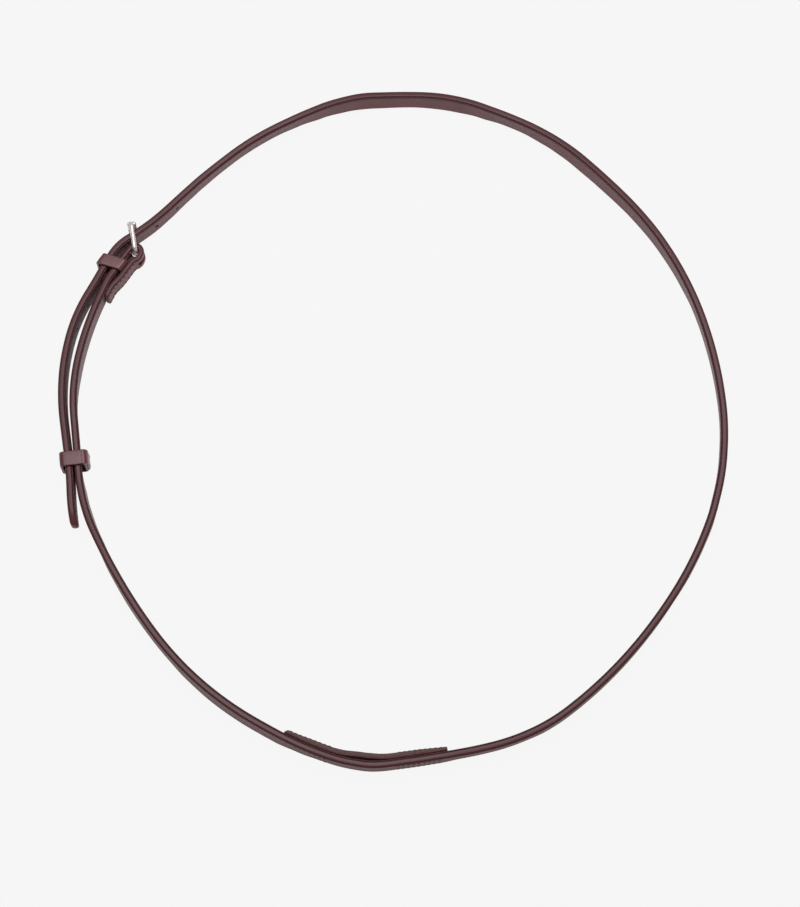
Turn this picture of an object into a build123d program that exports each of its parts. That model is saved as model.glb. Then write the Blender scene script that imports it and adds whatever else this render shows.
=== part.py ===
from build123d import *
import os
from math import atan2, cos, degrees, hypot, pi, radians, sin, sqrt

# Neck strap of a riding martingale: a flat two-layer leather strap, buckled into a hoop and lying on
# its edge.  Millimetres.  Everything is first laid out in the strap's own plane: X to the right,
# Y towards the crown of the hoop, Z across the width of the strap, zero at its lower edge.  At the
# end the whole strap is tipped by under half a degree, because it rests on the buckle's lower bar
# and on the far side of the hoop.

# Leather sizes
STRAP_WIDTH = 16.0
FACE_THICKNESS = 3.8
LINING_THICKNESS = 1.5
STRAP_THICKNESS = FACE_THICKNESS + LINING_THICKNESS
OUTER_SIDE = -STRAP_THICKNESS / 2
INNER_SIDE = STRAP_THICKNESS / 2
LAYER_SEAM = OUTER_SIDE + FACE_THICKNESS
GLUE_GAP = 0.05
MID_WIDTH = STRAP_WIDTH / 2

# Buckle sizes
HEEL_BAR_RADIUS = 1.9
HEEL_BAR_AT = (-184.5, 125.5)
FRAME_HEADING = 99.0
FRAME_LENGTH = 20.0
SIDE_BAR_RADIUS = 1.65
SIDE_BAR_CLEARANCE = 0.3
FRAME_CORNER_RADIUS = 2.6
FAR_BAR_DEPTH = 6.4
FAR_BAR_THICKNESS = 3.5
FAR_BAR_END_ROUNDING = 1.3
FOLD_CLEARANCE = 0.3
FOLD_BULGE_AT = 2.5
FOLD_BULGE = 8.7
LOW_BAR_Z = -SIDE_BAR_CLEARANCE - SIDE_BAR_RADIUS
HIGH_BAR_Z = STRAP_WIDTH + SIDE_BAR_CLEARANCE + SIDE_BAR_RADIUS

# Tongue sizes
TONGUE_EYE_CLEARANCE = 0.06
TONGUE_EYE_WALL = 1.2
TONGUE_EYE_WIDTH = 4.2
TONGUE_ROOT_RADIUS = 1.5
TONGUE_TIP_RADIUS = 1.15
TONGUE_REACH = 20.6
TONGUE_BAR_GAP = 0.3
TONGUE_NOTCH_DEPTH = 2.4
TONGUE_NOTCH_WIDTH = 3.8
TONGUE_SLOT_WIDTH = 5.4
TONGUE_SLOT_RADIUS = 8.5

# Punched holes in the billet, the free end of the strap
HOLE_RADIUS = 2.0
HOLE_PITCH = 20.0
HOLES_BEFORE_BUCKLE = 2
HOLES_AFTER_BUCKLE = 4
WORN_HOLE_LENGTH = 5.2
WORN_HOLE_WIDTH = 3.6
WORN_HOLE_DRIFT = 0.7
POINT_LENGTH = 17.0
POINT_SHOULDER = 0.42
POINT_SHOULDER_RISE = 0.80
POINT_NOSE = 2.2
TRIM = 3.0

# Turned-back end, sewn behind the buckle
FLAP_LENGTH = 41.0
FLAP_TAPER_LENGTH = 16.0
KEEPER_LEATHER = 2.0

# Keepers
FIXED_KEEPER_AT = 17.0
FIXED_KEEPER_SKEW = 4.7
FIXED_KEEPER_WIDTH = 9.0
FIXED_KEEPER_EASE = 0.8
RUNNER_AT = 166.2
RUNNER_WIDTH = 10.5
KEEPER_EASE = 0.4
RUNNER_INSIDE_DEPTH = 14.5
RUNNER_LAP = 1.5
RUNNER_LAP_HEIGHT = 9.0
RUNNER_LAP_Z = -1.5
RUNNER_EASE = 1.3
RUNNER_STITCH_SPREAD = 3.3
KEEPER_CORNER_RADIUS = 1.9

# Martingale loop: a leather piece sewn at both ends to the inside of the strap, at the breast
LOOP_THICKNESS = 4.0
LOOP_END_THICKNESS = 2.9
LOOP_TAPER_LENGTH = 24.0
LOOP_WIDTH = 15.0
LOOP_SEWN_LENGTH = 37.0
LOOP_GAP_LENGTH = 41.0
LOOP_GAP = 1.2
LOOP_START_AT = 419.3

# Stitches
STITCH_LENGTH = 2.6
STITCH_PITCH = 3.4
THREAD_WIDTH = 0.8
THREAD_STANDS = 0.35
THREAD_SINKS = 0.35
STITCH_MARGIN = 2.6

# The strap's centreline as it lies: x, y and the direction of travel in degrees.  It runs from the
# buckle's heel bar down the near side, past the breast, up to the crown, back through the buckle
# and down outside the first strand to the point of the billet.
STRAP_STATIONS = [
    (-200, 109, 236), (-209, 90, 248), (-223.5, 1, 277), (-206.5, -83, 296), (-163.5, -153.5, 307),
    (-108, -206, 326), (-75.5, -225, 332), (-46.5, -238, 340), (-29, -243, 349), (-11, -245, 2),
    (11, -242.5, 7.5), (36.5, -238.5, 8.5), (97.5, -221.5, 26), (141, -190, 42.5), (196, -124, 57.5),
    (221.5, -72.5, 69.5), (227, -54.5, 75), (232, -28.5, 83.5), (233, 10, 94), (221.5, 73, 106.5),
    (170, 166, 132), (104, 222, 152.5), (67, 238.5, 158), (20, 248, 179), (-14, 247.5, 182),
    (-29, 245.5, 193), (-53.5, 237.5, 204.5), (-117.5, 199.5, 220), (-144.5, 175.5, 224.5),
    (-176, 145.5, 219), (-201.5, 122.5, 241.5), (-217, 93, 241.5), (-233, 22, 271), (-227, -27, 279),
    (-220.5, -78.5, 282),
]

# Step of the searches along the strap
SEARCH_STEP = 0.05

# How the hoop rests: it tips about a line square to this direction, which points at the buckle
REST_DIRECTION = 144.0


# ---- paths in the plane: a path is a list of arcs (x, y, heading, bend, length) ----

def arc_to(pose, point):
    """The one arc that leaves a pose along its heading and ends at a point."""
    x, y, heading = pose
    east, north = point[0] - x, point[1] - y
    along = east * cos(heading) + north * sin(heading)
    across = north * cos(heading) - east * sin(heading)
    chord = hypot(along, across)
    bend = 2 * across / chord ** 2
    turn = 2 * atan2(across, along)
    length = chord if abs(turn) < 1e-9 else turn / bend
    return (x, y, heading, bend, length)


def pose_on(arc, distance):
    """Position and heading at a distance along an arc."""
    x, y, heading, bend, _ = arc
    if abs(bend) < 1e-9:
        return (x + distance * cos(heading), y + distance * sin(heading), heading)
    turned = heading + bend * distance
    return (x + (sin(turned) - sin(heading)) / bend, y - (cos(turned) - cos(heading)) / bend, turned)


def two_arcs(start, end):
    """Two tangent arcs from one pose to another."""
    x1, y1, a1 = start
    x2, y2, a2 = end
    east, north = x2 - x1, y2 - y1
    sum_x, sum_y = cos(a1) + cos(a2), sin(a1) + sin(a2)
    dot = east * sum_x + north * sum_y
    spread = 2 * (1 - cos(a1 - a2))
    square = east ** 2 + north ** 2
    if spread < 1e-9:
        reach = square / (4 * (east * cos(a2) + north * sin(a2)))
    else:
        reach = (sqrt(dot ** 2 + spread * square) - dot) / spread
    meeting = (
        (x1 + x2 + reach * (cos(a1) - cos(a2))) / 2,
        (y1 + y2 + reach * (sin(a1) - sin(a2))) / 2,
    )
    first = arc_to(start, meeting)
    second = arc_to(pose_on(first, first[4]), (x2, y2))
    return [first, second]


def path_through(poses):
    path = []
    for start, end in zip(poses, poses[1:]):
        path += two_arcs(start, end)
    return path


def path_length(path):
    return sum(arc[4] for arc in path)


def pose_at(path, distance):
    for arc in path[:-1]:
        if distance <= arc[4]:
            return pose_on(arc, distance)
        distance -= arc[4]
    return pose_on(path[-1], distance)


def beside(pose, offset):
    """The pose moved sideways, to the left of travel when the offset is positive."""
    x, y, heading = pose
    return (x - offset * sin(heading), y + offset * cos(heading), heading)


def turned_round(pose):
    return (pose[0], pose[1], pose[2] + pi)


def parallel(path, offset):
    arcs = []
    for arc in path:
        x, y, heading = beside(arc[:3], offset)
        scale = 1 - arc[3] * offset
        arcs.append((x, y, heading, arc[3] / scale, arc[4] * scale))
    return arcs


def stretch(path, low, high):
    """The part of a path between two distances."""
    arcs = []
    start = 0.0
    for arc in path:
        first, last = max(low - start, 0.0), min(high - start, arc[4])
        if last - first > 1e-6:
            x, y, heading = pose_on(arc, first)
            arcs.append((x, y, heading, arc[3], last - first))
        start += arc[4]
    return arcs


def backwards(path):
    arcs = []
    for arc in reversed(path):
        x, y, heading = turned_round(pose_on(arc, arc[4]))
        arcs.append((x, y, heading, -arc[3], arc[4]))
    return arcs


def path_ends(path):
    return path[0][:3], pose_on(path[-1], path[-1][4])


def path_edges(path):
    edges = []
    for arc in path:
        first, middle, last = (pose_on(arc, arc[4] * share)[:2] for share in (0, 0.5, 1))
        straight = abs(arc[3] * arc[4]) < 1e-4
        edges.append(Line(first, last) if straight else ThreePointArc(first, middle, last))
    return edges


def band(path, right, left, low, high):
    """A flat strip on edge: between two offsets from a path, and between two heights."""
    near, far = parallel(path, right), parallel(path, left)
    near_start, near_end = (pose[:2] for pose in path_ends(near))
    far_start, far_end = (pose[:2] for pose in path_ends(far))
    outline = path_edges(near) + [Line(near_end, far_end)] + path_edges(far) + [Line(far_start, near_start)]
    return Pos(0, 0, low) * extrude(make_face(outline), high - low)


def placed(pose, height=0.0):
    """Local frame at a pose: X along travel, Y to the left, Z up."""
    return Pos(pose[0], pose[1], height) * Rot(0, 0, degrees(pose[2]))


# ---- the layout of the strap ----

LEAD = radians(232)
FOLD_INNER_RADIUS = HEEL_BAR_RADIUS + FOLD_CLEARANCE
FOLD_RADIUS = FOLD_INNER_RADIUS + FACE_THICKNESS / 2
FACE_MIDDLE = (OUTER_SIDE + LAYER_SEAM) / 2
HEEL_POSE = (HEEL_BAR_AT[0], HEEL_BAR_AT[1], LEAD)
STRAP_START = beside(HEEL_POSE, -(FOLD_RADIUS + FACE_MIDDLE))
STRAP_POSES = [STRAP_START] + [(x, y, radians(heading)) for x, y, heading in STRAP_STATIONS]
STRAP_PATH = path_through(STRAP_POSES)
STRAP_LENGTH = path_length(STRAP_PATH)

# The active hole is where the billet crosses the buckle.
FRAME_POSE = (HEEL_BAR_AT[0], HEEL_BAR_AT[1], radians(FRAME_HEADING))
TONGUE_SIDE_STEP = FAR_BAR_DEPTH / 2 - TONGUE_NOTCH_DEPTH + TONGUE_BAR_GAP + TONGUE_TIP_RADIUS
TONGUE_HEADING = radians(FRAME_HEADING) + atan2(TONGUE_SIDE_STEP, FRAME_LENGTH)
TONGUE_POSE = (HEEL_BAR_AT[0], HEEL_BAR_AT[1], TONGUE_HEADING)


def crossing_distance():
    """Distance along the strap at which the billet crosses the line of the tongue."""
    distance = STRAP_LENGTH
    side = 1.0
    while side > 0:
        distance -= SEARCH_STEP
        x, y, _ = pose_at(STRAP_PATH, distance)
        east, north = x - HEEL_BAR_AT[0], y - HEEL_BAR_AT[1]
        side = north * cos(TONGUE_HEADING) - east * sin(TONGUE_HEADING)
    return distance


BUCKLED_AT = crossing_distance()


def turnback_path():
    """Middle of the face layer from the cut end of the turned-back flap, round the heel bar."""
    touching = INNER_SIDE + GLUE_GAP + FACE_THICKNESS / 2
    over_keeper = touching + KEEPER_LEATHER + 3 * GLUE_GAP
    keeper_wall_at = FIXED_KEEPER_AT - FIXED_KEEPER_SKEW / 2
    keeper_low = keeper_wall_at - FIXED_KEEPER_WIDTH / 2 - 1
    keeper_high = keeper_wall_at + FIXED_KEEPER_WIDTH / 2 + 1
    stations = [
        (FLAP_LENGTH, touching), (keeper_high + FLAP_TAPER_LENGTH, touching), (keeper_high, over_keeper),
        (keeper_low, over_keeper), (FOLD_BULGE_AT, FOLD_BULGE),
    ]
    poses = [turned_round(beside(pose_at(STRAP_PATH, at), offset)) for at, offset in stations]
    fold_end = beside((HEEL_BAR_AT[0], HEEL_BAR_AT[1], LEAD - pi / 2), -FOLD_RADIUS)
    return path_through(poses + [fold_end]) + [(*fold_end, 1 / FOLD_RADIUS, pi / 2 * FOLD_RADIUS)]


def hole_cutters():
    """The row of punched holes, and the worn one that the tongue stands in."""
    cutters = []
    for step in range(-HOLES_BEFORE_BUCKLE, HOLES_AFTER_BUCKLE + 1):
        if step != 0:
            pose = pose_at(STRAP_PATH, BUCKLED_AT + step * HOLE_PITCH)
            punch = Rot(90, 0, 0) * Cylinder(HOLE_RADIUS, STRAP_THICKNESS + 1)
            cutters.append(placed(pose, MID_WIDTH) * punch)
    along_tongue = Box(FRAME_LENGTH, WORN_HOLE_LENGTH, WORN_HOLE_WIDTH)
    worn_side = Pos(FRAME_LENGTH / 2 + 2, WORN_HOLE_DRIFT, 0)
    cutters.append(placed(TONGUE_POSE, MID_WIDTH) * worn_side * along_tongue)
    return cutters


def point_cutters():
    """Two curved wedges that trim the billet's end to a point."""
    end = path_ends(STRAP_PATH)[1]
    cutters = []
    for side in (-1, 1):
        corner = side * MID_WIDTH
        beyond = corner + side * TRIM
        nose = side * POINT_NOSE
        shoulder = (-POINT_LENGTH * POINT_SHOULDER, corner * POINT_SHOULDER_RISE)
        outline = [
            ThreePointArc((-POINT_LENGTH, corner), shoulder, (0, nose)),
            Line((0, nose), (TRIM, nose)),
            Line((TRIM, nose), (TRIM, beyond)),
            Line((TRIM, beyond), (-POINT_LENGTH, beyond)),
            Line((-POINT_LENGTH, beyond), (-POINT_LENGTH, corner)),
        ]
        wedge = extrude(make_face(outline), STRAP_THICKNESS / 2 + 0.5, both=True)
        cutters.append(placed(end, MID_WIDTH) * Rot(90, 0, 0) * wedge)
    return cutters


def neck_strap_face():
    """Grain layer: flap, fold round the heel bar, whole hoop, billet and point, in one piece."""
    path = turnback_path() + parallel(STRAP_PATH, FACE_MIDDLE)
    layer = band(path, -FACE_THICKNESS / 2, FACE_THICKNESS / 2, 0, STRAP_WIDTH)
    slot = Cylinder(TONGUE_SLOT_RADIUS, TONGUE_SLOT_WIDTH)
    layer -= placed(HEEL_POSE, MID_WIDTH) * slot
    for cutter in hole_cutters() + point_cutters():
        layer -= cutter
    return layer


def neck_strap_lining():
    """Lining: inside the face layer from just past the buckle's fold to the point."""
    start = TONGUE_SLOT_RADIUS + 0.5
    path = stretch(STRAP_PATH, start, STRAP_LENGTH)
    layer = band(path, LAYER_SEAM + GLUE_GAP, INNER_SIDE, 0, STRAP_WIDTH)
    for cutter in hole_cutters() + point_cutters():
        layer -= cutter
    return layer


def buckle_frame():
    """Rectangular frame of round bar with a deeper, oval far bar, notched for the tongue to rest in."""
    low, high = LOW_BAR_Z, HIGH_BAR_Z
    round_off = FRAME_CORNER_RADIUS
    rails = FilletPolyline(
        (0, 0, low), (FRAME_LENGTH, 0, low), (FRAME_LENGTH, 0, high), (0, 0, high),
        radius=round_off, close=True,
    )
    start = rails @ 0
    section = Plane(origin=start, z_dir=rails % 0) * Circle(SIDE_BAR_RADIUS)
    frame = sweep(section, path=rails)
    heel_height = high - low - 2 * round_off
    frame += Pos(0, 0, MID_WIDTH) * Cylinder(HEEL_BAR_RADIUS, heel_height)
    oval = SlotOverall(FAR_BAR_DEPTH, FAR_BAR_THICKNESS, rotation=90)
    bar_height = high - low
    far_bar = extrude(oval, bar_height / 2, both=True)
    ends = far_bar.faces().filter_by(Axis.Z).edges()
    frame += Pos(FRAME_LENGTH, 0, MID_WIDTH) * fillet(ends, FAR_BAR_END_ROUNDING)
    notch = Box(FAR_BAR_THICKNESS + 1, 2 * TONGUE_NOTCH_DEPTH, TONGUE_NOTCH_WIDTH)
    frame -= Pos(FRAME_LENGTH, FAR_BAR_DEPTH / 2, MID_WIDTH) * notch
    return placed(FRAME_POSE) * frame


def buckle_tongue():
    """Tapered pin with an eye that turns on the heel bar."""
    eye_inner = HEEL_BAR_RADIUS + TONGUE_EYE_CLEARANCE
    eye_outer = eye_inner + TONGUE_EYE_WALL
    shank_start = (eye_inner + eye_outer) / 2
    shank_length = TONGUE_REACH - shank_start
    shank = Cone(TONGUE_ROOT_RADIUS, TONGUE_TIP_RADIUS, shank_length)
    shank_middle = shank_start + shank_length / 2
    tongue = Cylinder(eye_outer, TONGUE_EYE_WIDTH)
    tongue += Pos(shank_middle, 0, 0) * Rot(0, 90, 0) * shank
    tongue += Pos(TONGUE_REACH, 0, 0) * Sphere(TONGUE_TIP_RADIUS)
    tongue -= Cylinder(eye_inner, TONGUE_EYE_WIDTH + 2)
    return placed(TONGUE_POSE, MID_WIDTH) * tongue


def keeper_ring(inner_low, inner_high, width, skew=0.0):
    """A closed band round the strap, over the given offsets; with a skew its outer wall is farther on."""
    low, high = inner_low - KEEPER_LEATHER, inner_high + KEEPER_LEATHER
    opening = STRAP_WIDTH + 2 * KEEPER_EASE
    corners = [
        ((skew - width) / 2, low), ((skew + width) / 2, low),
        ((width - skew) / 2, high), (-(skew + width) / 2, high),
    ]
    footprint = make_face(Polyline(*corners, close=True))
    hull = extrude(footprint, opening / 2 + KEEPER_LEATHER, both=True)
    hull = fillet(hull.edges().filter_by(Axis.X), KEEPER_CORNER_RADIUS)
    hole = Box(width + skew + 2, inner_high - inner_low, opening)
    return hull - Pos(0, (inner_low + inner_high) / 2, 0) * hole


def outer_strand_offset(at):
    """Offset of the outer strand's centreline, seen from a point on the first strand."""
    x, y, heading = pose_at(STRAP_PATH, at)
    seen = []
    for step in range(int((STRAP_LENGTH - BUCKLED_AT) / SEARCH_STEP)):
        px, py, _ = pose_at(STRAP_PATH, BUCKLED_AT + step * SEARCH_STEP)
        along = (px - x) * cos(heading) + (py - y) * sin(heading)
        across = (py - y) * cos(heading) - (px - x) * sin(heading)
        seen.append((abs(along), across))
    return min(seen)[1]


def fixed_keeper():
    """Sewn keeper: askew over both strands, its joined ends caught under the turned-back flap."""
    pose = pose_at(STRAP_PATH, FIXED_KEEPER_AT)
    outer = outer_strand_offset(FIXED_KEEPER_AT)
    low = outer - STRAP_THICKNESS / 2 - FIXED_KEEPER_EASE
    high = INNER_SIDE + GLUE_GAP
    ring = keeper_ring(low, high, FIXED_KEEPER_WIDTH, FIXED_KEEPER_SKEW)
    return placed(pose, MID_WIDTH) * ring


def runner_keeper():
    """Loose keeper that slides along both strands, lapped and sewn on its inner side."""
    pose = pose_at(STRAP_PATH, RUNNER_AT)
    high = INNER_SIDE + RUNNER_EASE
    low = high - RUNNER_INSIDE_DEPTH
    ring = keeper_ring(low, high, RUNNER_WIDTH)
    lap = Box(RUNNER_WIDTH, RUNNER_LAP, RUNNER_LAP_HEIGHT)
    lap = fillet(lap.edges().filter_by(Axis.X), 0.5)
    ring += Pos(0, high + KEEPER_LEATHER + RUNNER_LAP / 2, RUNNER_LAP_Z) * lap
    return placed(pose, MID_WIDTH) * ring


def loop_path():
    """Outer surface of the loop piece: on the strap, off it over the gap, and on it again."""
    on_strap = parallel(STRAP_PATH, INNER_SIDE + GLUE_GAP)
    scale = path_length(on_strap) / STRAP_LENGTH
    start = LOOP_START_AT * scale
    gap_start = start + LOOP_SEWN_LENGTH
    gap_end = gap_start + LOOP_GAP_LENGTH
    end = gap_end + LOOP_SEWN_LENGTH
    crest = beside(pose_at(on_strap, (gap_start + gap_end) / 2), LOOP_GAP)
    over_gap = path_through([pose_at(on_strap, gap_start), crest, pose_at(on_strap, gap_end)])
    return stretch(on_strap, start, gap_start) + over_gap + stretch(on_strap, gap_end, end)


def loop_free_side():
    """Free side of the loop piece, which thins towards both ends."""
    path = loop_path()
    length = path_length(path)
    taper_end = length - LOOP_TAPER_LENGTH
    start = beside(pose_at(path, 0), LOOP_END_THICKNESS)
    thick_start = beside(pose_at(path, LOOP_TAPER_LENGTH), LOOP_THICKNESS)
    thick_end = beside(pose_at(path, taper_end), LOOP_THICKNESS)
    end = beside(pose_at(path, length), LOOP_END_THICKNESS)
    middle = parallel(stretch(path, LOOP_TAPER_LENGTH, taper_end), LOOP_THICKNESS)
    return path_through([start, thick_start]) + middle + path_through([thick_end, end])


def martingale_loop():
    """Loop piece that the martingale's body strap passes through."""
    edge = (STRAP_WIDTH - LOOP_WIDTH) / 2
    sewn, free = loop_path(), loop_free_side()
    sewn_start, sewn_end = (pose[:2] for pose in path_ends(sewn))
    free_start, free_end = (pose[:2] for pose in path_ends(free))
    ends = [Line(sewn_start, free_start), Line(sewn_end, free_end)]
    outline = make_face(path_edges(sewn) + path_edges(free) + ends)
    return Pos(0, 0, edge) * extrude(outline, LOOP_WIDTH)


def stitch_row(path, offset, outwards, low, high, height):
    """Visible stitches of one row at an offset from a path; outwards is 1 or -1, to its left or right."""
    count = int((high - low) / STITCH_PITCH)
    depth = THREAD_STANDS + THREAD_SINKS
    slot = extrude(SlotOverall(STITCH_LENGTH, THREAD_WIDTH), depth / 2, both=True)
    middle = offset + outwards * (THREAD_STANDS - THREAD_SINKS) / 2
    stitches = []
    for index in range(count):
        at = low + (index + 0.5) * (high - low) / count
        pose = beside(pose_at(path, at), middle)
        stitches.append(placed(pose, height) * Rot(90, 0, 0) * slot)
    return stitches


def turnback_stitching():
    """Two rows through the strap, the keeper's ends and the flap."""
    flap = backwards(turnback_path())
    flap_start = path_length(flap) - FLAP_LENGTH + TONGUE_SLOT_RADIUS
    flap_end = path_length(flap) - STITCH_MARGIN
    strap_end = FLAP_LENGTH - STITCH_MARGIN
    stitches = []
    for height in (STITCH_MARGIN, STRAP_WIDTH - STITCH_MARGIN):
        stitches += stitch_row(flap, FACE_THICKNESS / 2, 1, flap_start, flap_end, height)
        stitches += stitch_row(STRAP_PATH, OUTER_SIDE, -1, TONGUE_SLOT_RADIUS, strap_end, height)
    return stitches


def loop_stitching(low, high):
    """Two rows through the strap and one sewn end of the loop piece."""
    free = loop_free_side()
    scale = path_length(free) / path_length(loop_path())
    first, last = LOOP_START_AT + low, LOOP_START_AT + high
    stitches = []
    for height in (STITCH_MARGIN, STRAP_WIDTH - STITCH_MARGIN):
        stitches += stitch_row(free, 0, 1, low * scale, high * scale, height)
        stitches += stitch_row(STRAP_PATH, OUTER_SIDE, -1, first, last, height)
    return stitches


def runner_stitching():
    """Two short rows that hold the runner's lap."""
    pose = pose_at(STRAP_PATH, RUNNER_AT)
    surface = INNER_SIDE + RUNNER_EASE + KEEPER_LEATHER + RUNNER_LAP
    depth = THREAD_STANDS + THREAD_SINKS
    slot = extrude(SlotOverall(STITCH_LENGTH, THREAD_WIDTH, rotation=90), depth / 2, both=True)
    middle = surface + (THREAD_STANDS - THREAD_SINKS) / 2
    stitches = []
    for along in (-RUNNER_STITCH_SPREAD, RUNNER_STITCH_SPREAD):
        for step in (-0.5, 0.5):
            height = RUNNER_LAP_Z + step * STITCH_PITCH
            stitch = Pos(along, middle, height) * Rot(90, 0, 0) * slot
            stitches.append(placed(pose, MID_WIDTH) * stitch)
    return stitches


def strap_nodes():
    """Every piece, in the strap's own plane."""
    loop_end = 2 * LOOP_SEWN_LENGTH + LOOP_GAP_LENGTH
    left_seam = (STITCH_MARGIN, LOOP_SEWN_LENGTH - STITCH_MARGIN)
    right_seam = (loop_end - left_seam[1], loop_end - left_seam[0])
    return {
        "neck_strap_face": neck_strap_face(),
        "neck_strap_lining": neck_strap_lining(),
        "buckle_frame": buckle_frame(),
        "buckle_tongue": buckle_tongue(),
        "fixed_keeper": fixed_keeper(),
        "runner_keeper": runner_keeper(),
        "martingale_loop": martingale_loop(),
        "turnback_stitching": Compound(turnback_stitching()),
        "loop_stitching_left": Compound(loop_stitching(*left_seam)),
        "loop_stitching_right": Compound(loop_stitching(*right_seam)),
        "runner_stitching": Compound(runner_stitching()),
    }


def rest_tilt():
    """Angle by which the hoop tips: the buckle's lower bar holds that side of it up."""
    toward = radians(REST_DIRECTION)
    steps = [pose_at(parallel(STRAP_PATH, OUTER_SIDE), at) for at in range(0, int(STRAP_LENGTH), 2)]
    far_reach = max(-(x * cos(toward) + y * sin(toward)) for x, y, _ in steps)
    foot = pose_on((*FRAME_POSE, 0.0, FRAME_LENGTH), FRAME_CORNER_RADIUS)
    foot_reach = foot[0] * cos(toward) + foot[1] * sin(toward)
    return degrees(atan2(SIDE_BAR_RADIUS - LOW_BAR_Z, far_reach + foot_reach))


def at_rest(nodes):
    """Tips the hoop as it lies, and puts the middle of its footprint at the origin."""
    tip_line = Axis((0, 0, 0), (-sin(radians(REST_DIRECTION)), cos(radians(REST_DIRECTION)), 0))
    tipped = {name: shape.rotate(tip_line, -rest_tilt()) for name, shape in nodes.items()}
    box = Compound(list(tipped.values())).bounding_box()
    middle = box.center()
    print("tipped by", rest_tilt(), "degrees and moved by", -middle.X, -middle.Y, -box.min.Z)
    return {name: Pos(-middle.X, -middle.Y, -box.min.Z) * shape for name, shape in tipped.items()}


os.makedirs("parts", exist_ok=True)
for name, shape in at_rest(strap_nodes()).items():
    export_step(shape, f"parts/{name}.step")
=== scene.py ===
from math import atan2, cos, hypot, pi, radians, sin, sqrt

import bmesh
import bpy
from mathutils import Matrix, Vector, noise


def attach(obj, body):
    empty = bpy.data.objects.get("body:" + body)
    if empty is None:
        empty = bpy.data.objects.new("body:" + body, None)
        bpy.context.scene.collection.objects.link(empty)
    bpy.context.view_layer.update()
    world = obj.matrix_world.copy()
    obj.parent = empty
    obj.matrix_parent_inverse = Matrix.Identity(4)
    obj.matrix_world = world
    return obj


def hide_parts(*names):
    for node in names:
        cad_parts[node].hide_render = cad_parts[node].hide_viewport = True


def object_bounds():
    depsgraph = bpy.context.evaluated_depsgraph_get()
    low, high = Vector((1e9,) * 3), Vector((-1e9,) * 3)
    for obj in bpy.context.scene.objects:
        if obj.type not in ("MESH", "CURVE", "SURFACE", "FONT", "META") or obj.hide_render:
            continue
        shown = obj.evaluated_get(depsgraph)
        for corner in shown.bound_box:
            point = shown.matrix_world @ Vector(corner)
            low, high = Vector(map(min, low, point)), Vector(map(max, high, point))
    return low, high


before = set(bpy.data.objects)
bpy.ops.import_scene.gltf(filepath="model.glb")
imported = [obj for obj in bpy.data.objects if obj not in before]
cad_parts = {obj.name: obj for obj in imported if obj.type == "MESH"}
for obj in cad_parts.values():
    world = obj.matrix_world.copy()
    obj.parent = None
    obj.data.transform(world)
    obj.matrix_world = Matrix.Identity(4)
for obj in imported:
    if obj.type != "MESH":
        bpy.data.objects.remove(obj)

# Neck strap of a riding martingale, lying on its edge.  The shapes are laid out in millimetres in the
# strap's own plane, as the CAD parts are, and REST puts them into the row frame, in metres.

CAD_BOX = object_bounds()
SEED = 7

# Leather, as in the CAD parts
WIDTH = 16.0
MID = WIDTH / 2
FACE = 3.8
THICKNESS = 5.3
OUTER = -THICKNESS / 2
INNER = THICKNESS / 2
SEAM = OUTER + FACE
GLUE = 0.05
KEEPER_LEATHER = 2.0

# Buckle and holes, as in the CAD parts
HEEL_AT = (-184.5, 125.5)
HEEL_RADIUS = 1.9
FOLD_CLEARANCE = 0.3
FRAME_HEADING = 99.0
FRAME_LENGTH = 20.0
FAR_BAR_DEPTH, NOTCH_DEPTH = 6.4, 2.4
TONGUE_BAR_GAP, TONGUE_TIP_RADIUS = 0.3, 1.15
TONGUE_STEP = FAR_BAR_DEPTH / 2 - NOTCH_DEPTH + TONGUE_BAR_GAP + TONGUE_TIP_RADIUS
WORN_HOLE_LENGTH, WORN_HOLE_WIDTH = 5.2, 3.6
WORN_HOLE_DRIFT, WORN_HOLE_START = 0.7, 2
BULGE_AT, BULGE = 2.5, 8.7
SLOT_WIDTH = 5.4
SLOT_RADIUS = 8.5
HOLE_PITCH = 20.0
HOLE_STEPS = (-2, -1, 1, 2, 3, 4)
POINT_LENGTH = 17.0

# Turned-back end, keepers and loop piece, as in the CAD parts
FLAP_LENGTH = 41.0
FLAP_TAPER = 16.0
FIXED_AT, FIXED_WIDTH, FIXED_EASE, FIXED_SKEW = 17.0, 9.0, 0.8, 4.7
RUNNER_AT, RUNNER_WIDTH, RUNNER_DEPTH, RUNNER_EASE = 166.2, 10.5, 14.5, 1.3
KEEPER_EASE = 0.4
LOOP_THICKNESS, LOOP_END_THICKNESS, LOOP_TAPER, LOOP_WIDTH = 4.0, 2.9, 24.0, 15.0
LOOP_SEWN, LOOP_OPEN, LOOP_RISE, LOOP_START = 37.0, 41.0, 1.2, 419.3
STITCH_LENGTH, STITCH_PITCH, STITCH_MARGIN, THREAD_WIDTH = 2.6, 3.4, 2.6, 0.8
RUNNER_STITCH_SPREAD, RUNNER_LAP_Z = 3.3, -1.5

# Only in the pieces made here: the corners and crown of the keepers, taken at their leather's middle,
# how thick each row's stitches are, and the unused holes, smaller than the CAD's, with a flared rim
KEEPER_CORNER, RUNNER_CORNER, KEEPER_CROWN = 1.9, 2.2, 0.14
INNER_STAND, FLAP_UNDER_STAND, LOOP_UNDER_STAND = 0.9, 0.6, 0.55
IDLE_HOLE_RADIUS, HOLE_FLARE = 1.2, 0.4

# How far to each side the lining is narrower than the face layer, and where the line between them
# moves from the CAD's place to the one that shows, by distance along the strap
LINING_INSET = 0.5
SEAM_MOVES = (9, 16)

# Where the strap's rings lie closer together: as far as this past the fold, from this far off the tip,
# and between these two distances from the tip, round the holes
PAST_FOLD, NEAR_TIP, HOLES_FROM, HOLES_TO = 60, 24, 290, 150
RING_STEP, HOLE_RING_STEP, TIP_RING_STEP = 2.2, 1.2, 0.5

# Steps of the searches along the strap
SEARCH_STEP, STRAND_STEP = 0.05, 0.1

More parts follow.
